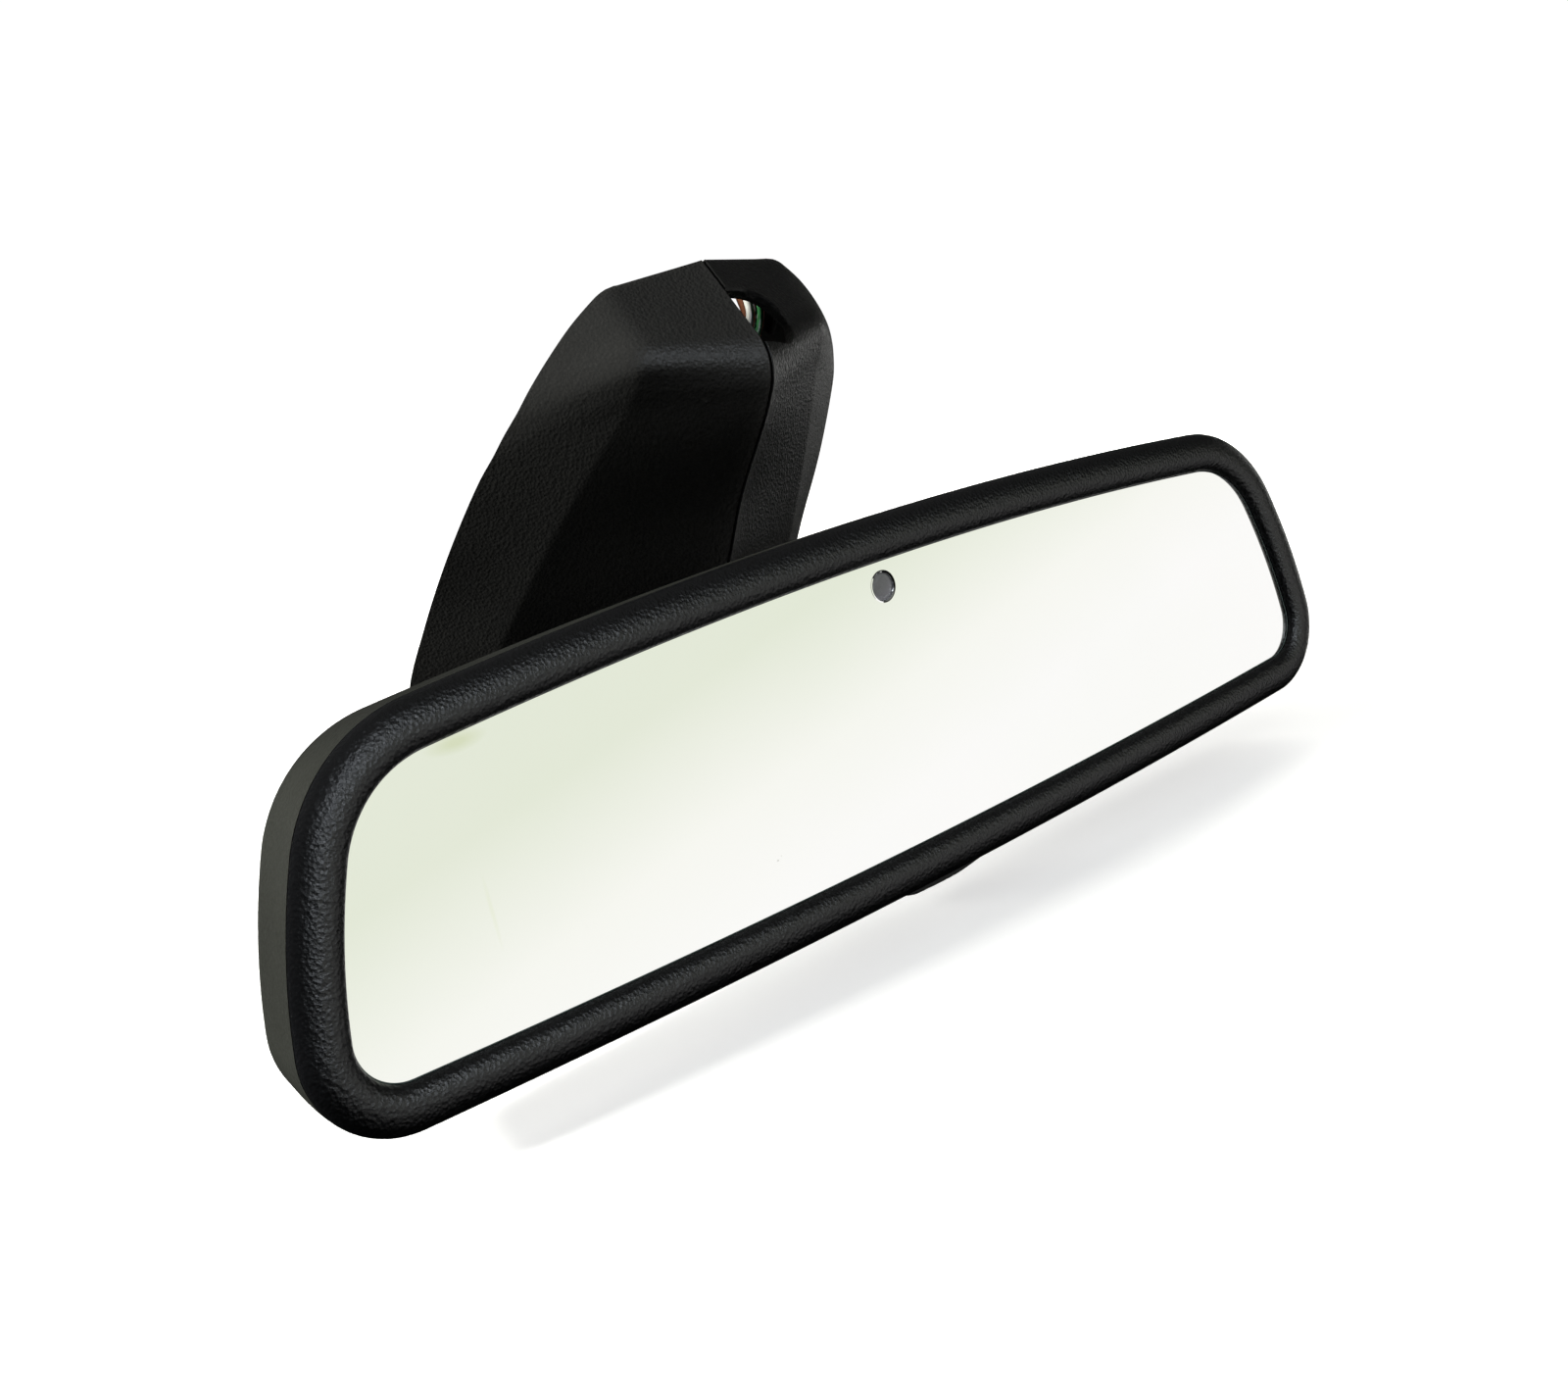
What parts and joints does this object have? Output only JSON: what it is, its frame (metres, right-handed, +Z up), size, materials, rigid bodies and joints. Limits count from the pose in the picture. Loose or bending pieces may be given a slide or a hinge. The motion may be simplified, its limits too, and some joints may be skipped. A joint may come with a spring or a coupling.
{
  "type": "interior rearview mirror",
  "caption": "Self-dimming interior rearview mirror: wide rounded mirror head on a ball-jointed stem, with a windscreen foot inside a two-half wedge cover.",
  "frame": {"origin": "a point on the foot's flat ring that lies against the windscreen plate, on the symmetry plane, 15.75 mm down the windscreen from the middle of the foot", "axes": "+X to the right as the driver faces the glass, -Y out of the glass towards the driver, +Z up; the glass is upright at rest"},
  "size_m": [0.246, 0.1144, 0.1215],
  "materials": {
    "bezel_plastic": "fine sparkle grain, satin",
    "housing_plastic": "fine grain",
    "cover_plastic": "fine leather-like grain, matte",
    "clear_glass": "polished",
    "mirror_glass": "silvered",
    "gel": "clear gel",
    "seal": "cured sealant",
    "spring_steel": "rolled strip",
    "screw_steel": "zinc plated",
    "foam": "closed-cell foam",
    "black_plastic": "moulded",
    "diecast": "die-cast",
    "circuit_board": "solder mask",
    "chip": "moulded epoxy",
    "can": "drawn can",
    "connector": "natural nylon",
    "lens": "tinted, clear",
    "sensor": "dark epoxy",
    "nylon": "natural nylon",
    "sleeve": "braided",
    "wire_red": "wire insulation",
    "wire_green": "wire insulation",
    "wire_white": "wire insulation",
    "wire_brown": "wire insulation",
    "wire_orange": "wire insulation"
  },
  "bodies": {
    "root": {"mount_foot": "diecast", "retaining_spring": "spring_steel", "spring_rivet_1": "screw_steel", "spring_rivet_2": "screw_steel", "cover_left": "cover_plastic", "cover_right": "cover_plastic", "harness_sleeve": "sleeve", "cable_tie": "black_plastic", "outlet_shield": "black_plastic", "wire_red": "wire_red", "wire_green": "wire_green", "wire_white": "wire_white", "wire_brown": "wire_brown", "wire_orange": "wire_orange"},
    "swivel_seat": {"seat_rear": "nylon"},
    "tilt_seat": {"seat_front": "nylon"},
    "head": {"front_bezel": "bezel_plastic", "rear_housing": "housing_plastic", "front_glass": "clear_glass", "cell_seal": "seal", "dimming_gel": "gel", "rear_glass": "mirror_glass", "bus_clip_upper": "spring_steel", "bus_clip_lower": "spring_steel", "adhesive_pad": "foam", "carrier_plate": "black_plastic", "pivot_plate": "diecast", "circuit_board": "circuit_board", "control_chip": "chip", "driver_chip": "chip", "capacitor": "can", "board_header": "connector", "harness_plug": "black_plastic", "glare_light_pipe": "lens", "glare_sensor": "sensor", "ambient_sensor": "sensor", "ambient_lens": "lens", "socket_retainer": "spring_steel", "pivot_screw_1": "screw_steel", "pivot_screw_2": "screw_steel", "pivot_screw_3": "screw_steel", "pivot_screw_4": "screw_steel", "board_screw_1": "screw_steel", "board_screw_2": "screw_steel", "retainer_screw_1": "screw_steel", "retainer_screw_2": "screw_steel", "retainer_screw_3": "screw_steel", "head_wire_red": "wire_red", "head_wire_green": "wire_green", "head_wire_white": "wire_white", "head_wire_brown": "wire_brown", "head_wire_orange": "wire_orange"}
  },
  "joints": [
    {"name": "head_swivel", "type": "hinge", "parent": "root", "child": "swivel_seat", "pos_m": [0, -0.06458, -0.0225], "axis": [0, 0, 1], "range_deg": [-18, 18]},
    {"name": "head_tilt", "type": "hinge", "parent": "swivel_seat", "child": "tilt_seat", "pos_m": [0, -0.06458, -0.0225], "axis": [1, 0, 0], "range_deg": [-14, 14]},
    {"name": "head_roll", "type": "hinge", "parent": "tilt_seat", "child": "head", "pos_m": [0, -0.06458, -0.0225], "axis": [0, 1, 0], "range_deg": [-8, 8]}
  ]
}
